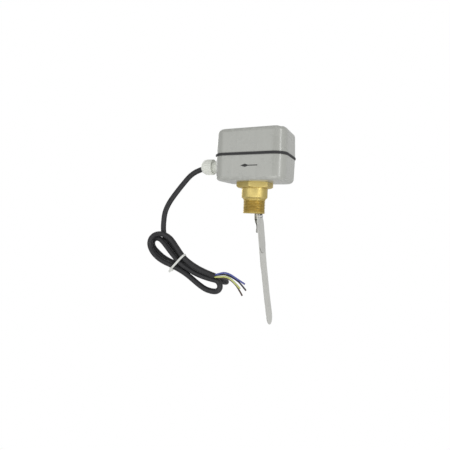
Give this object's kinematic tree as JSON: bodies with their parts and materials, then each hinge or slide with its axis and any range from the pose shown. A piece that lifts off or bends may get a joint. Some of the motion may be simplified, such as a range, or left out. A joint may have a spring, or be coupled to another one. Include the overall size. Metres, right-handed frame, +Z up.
{
  "type": "paddle flow switch",
  "caption": "Paddle flow switch: rounded grey switch housing on a brass hex body with pipe thread, hinged steel paddles below, cable gland with tied flying lead.",
  "frame": {"origin": "centre of the top of the pipe thread, on the thread's axis", "axes": "+Z up out of the pipe towards the housing, X along the long side of the housing with the cable gland on -X and the flow arrow pointing to -X, front face towards -Y"},
  "size_m": [0.2247, 0.0812, 0.2851],
  "materials": {
    "housing": "fine-textured light grey paint on die-cast aluminium",
    "gasket_rubber": "matt black rubber",
    "plated_steel": "nickel plated",
    "brass_body": "turned brass",
    "zinc_plate": "zinc plated sheet",
    "bronze": "phosphor bronze",
    "lever_brass": "machined brass",
    "paddle_steel": "satin stainless sheet",
    "spring_steel": "bright spring steel",
    "switch_case": "black moulded phenolic",
    "switch_red": "red moulded button",
    "block_plastic": "black moulded nylon",
    "gland_nylon": "off-white nylon",
    "cable_jacket": "black PVC jacket",
    "tie_nylon": "natural nylon",
    "core_blue": "blue PVC insulation",
    "core_black": "black PVC insulation",
    "core_green": "green and yellow striped PVC insulation",
    "core_brown": "dark brown PVC insulation"
  },
  "bodies": {
    "housing": {"lower_housing": "housing", "upper_cover": "housing", "housing_gasket": "gasket_rubber", "cover_screws": "plated_steel", "brass_body": "brass_body", "body_seal": "gasket_rubber", "body_screws": "plated_steel", "mounting_bracket": "zinc_plate", "bellows_collar": "bronze", "fulcrum_pin": "plated_steel", "fulcrum_clips": "plated_steel", "range_spring": "spring_steel", "switch_body": "switch_case", "switch_screws": "plated_steel", "switch_tabs": "lever_brass", "terminal_block": "block_plastic", "terminal_screws": "lever_brass", "earth_screw": "plated_steel", "gland_body": "gland_nylon", "gland_gasket": "gasket_rubber", "gland_seal": "gasket_rubber", "gland_nut": "gland_nylon", "gland_locknut": "gland_nylon", "supply_cable": "cable_jacket", "inner_sheath": "cable_jacket", "inner_wires": "core_brown", "earth_wire": "core_green", "cable_hank": "cable_jacket", "cable_tie": "tie_nylon", "core_blue": "core_blue", "core_black": "core_black", "core_green_yellow": "core_green", "core_brown": "core_brown"},
    "paddle_lever": {"lever_rod": "lever_brass", "swing_lever": "zinc_plate", "lever_screw": "plated_steel", "striker_screw": "lever_brass", "striker_nut": "lever_brass", "bellows": "bronze", "bellows_cap": "bronze", "paddle_short": "paddle_steel", "paddle_medium": "paddle_steel", "paddle_long": "paddle_steel", "paddle_longest": "paddle_steel", "clamp_plate": "paddle_steel", "paddle_washers": "plated_steel", "paddle_screws": "plated_steel", "paddle_nuts": "plated_steel"},
    "leaf": {"switch_leaf": "spring_steel"},
    "button": {"switch_button": "switch_red"},
    "range_adjuster": {"range_screw": "lever_brass", "range_clip": "plated_steel"},
    "range_follower": {"range_nut": "zinc_plate"}
  },
  "joints": [
    {"name": "paddle_swing", "type": "hinge", "parent": "housing", "child": "paddle_lever", "pos_m": [0, 0, 0.033], "axis": [0, 1, 0], "range_deg": [0, 8], "stiffness_Nm_per_rad": 0.9, "springref_deg": -6.88, "deforming": ["range_spring", "bellows"]},
    {"name": "leaf_swing", "type": "hinge", "parent": "housing", "child": "leaf", "pos_m": [0.009, 0, 0.045], "axis": [0, 1, 0], "range_deg": [0, 11.4]},
    {"name": "button_travel", "type": "slide", "parent": "housing", "child": "button", "axis": [1, 0, 0], "range_m": [0, 0.0014]},
    {"name": "range_nut_travel", "type": "slide", "parent": "housing", "child": "range_follower", "axis": [0, 0, 1], "range_m": [-0.0015, 0.0015]},
    {"name": "range_screw_turn", "type": "hinge", "parent": "housing", "child": "range_adjuster", "pos_m": [-0.02, 0, 0.07], "axis": [0, 0, 1], "range_deg": [-720, 720]}
  ],
  "couplings": [
    {"joint": "leaf_swing", "follows": "paddle_swing", "ratio": 1.4125},
    {"joint": "button_travel", "follows": "paddle_swing", "m_per_rad": 0.009955},
    {"joint": "range_screw_turn", "follows": "range_nut_travel", "rad_per_m": 7854}
  ]
}
